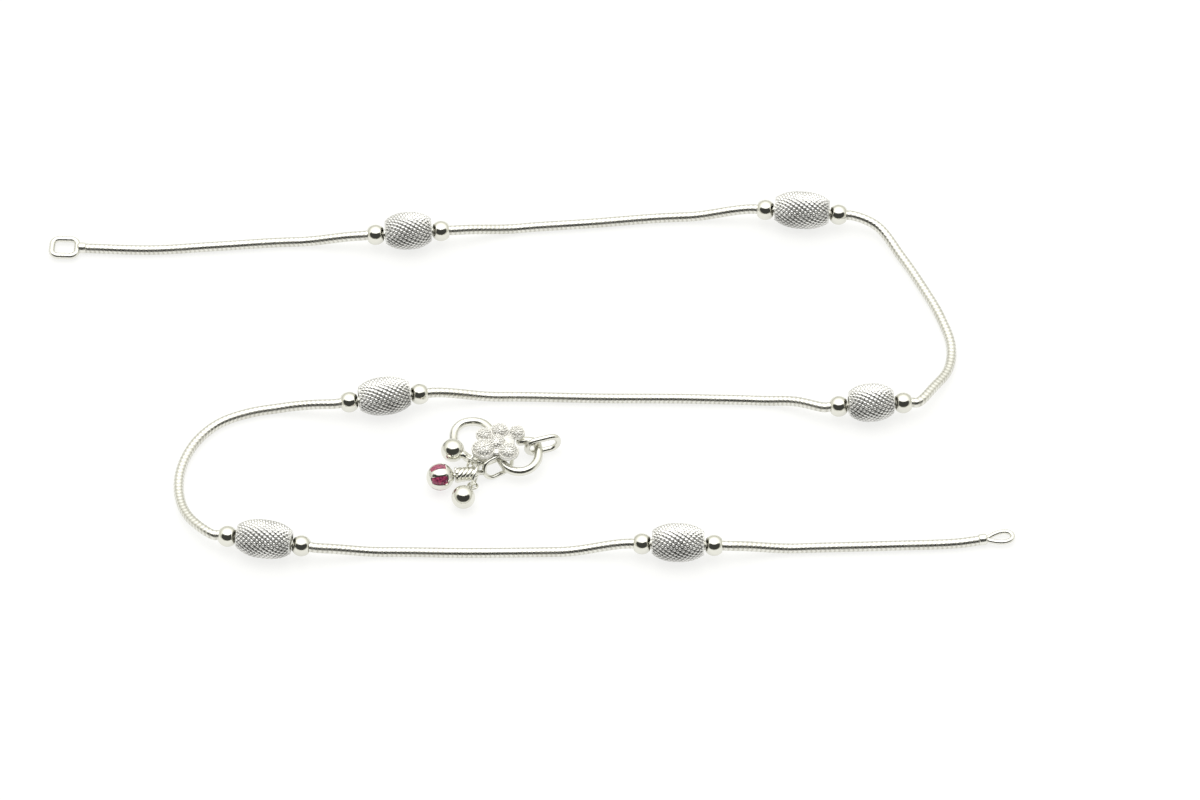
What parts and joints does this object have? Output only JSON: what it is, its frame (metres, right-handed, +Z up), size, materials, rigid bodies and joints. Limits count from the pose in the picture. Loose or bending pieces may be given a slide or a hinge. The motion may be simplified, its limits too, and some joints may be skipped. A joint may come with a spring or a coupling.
{
  "type": "payal anklet",
  "caption": "Open silver payal anklet: snake chain with knurled barrel beads between polished balls, end rings, and a loose S hook clasp with a cast flower, link and small bells.",
  "frame": {"origin": "centre of the laid anklet's bounding box on plan, at the surface that it lies on", "axes": "+X along the anklet's long side, +Y across it away from the viewer, +Z up from the surface"},
  "size_m": [0.0968, 0.0474, 0.0038],
  "materials": {
    "snake_chain": "polished silver with a fine ribbed texture",
    "knurled_bead": "bright silver with diagonal knurling",
    "polished_ball": "mirror polished silver",
    "clasp_wire": "polished silver",
    "cast_flower": "polished wire with a frosted, granular cast flower",
    "enamel": "polished silver with pink enamel panels"
  },
  "bodies": {
    "root": {"snake_chain": "snake_chain", "bead_1": "knurled_bead", "ball_1_left": "polished_ball", "ball_1_right": "polished_ball", "bead_2": "knurled_bead", "ball_2_left": "polished_ball", "ball_2_right": "polished_ball", "bead_3": "knurled_bead", "ball_3_left": "polished_ball", "ball_3_right": "polished_ball", "bead_4": "knurled_bead", "ball_4_left": "polished_ball", "ball_4_right": "polished_ball", "bead_5": "knurled_bead", "ball_5_left": "polished_ball", "ball_5_right": "polished_ball", "bead_6": "knurled_bead", "ball_6_left": "polished_ball", "ball_6_right": "polished_ball", "clasp_hook": "cast_flower", "hook_link": "clasp_wire", "bell_stem": "clasp_wire", "bell_1": "polished_ball", "bell_2": "enamel", "bell_3": "polished_ball", "bell_ring_1": "clasp_wire", "bell_ring_3": "clasp_wire"}
  },
  "joints": []
}
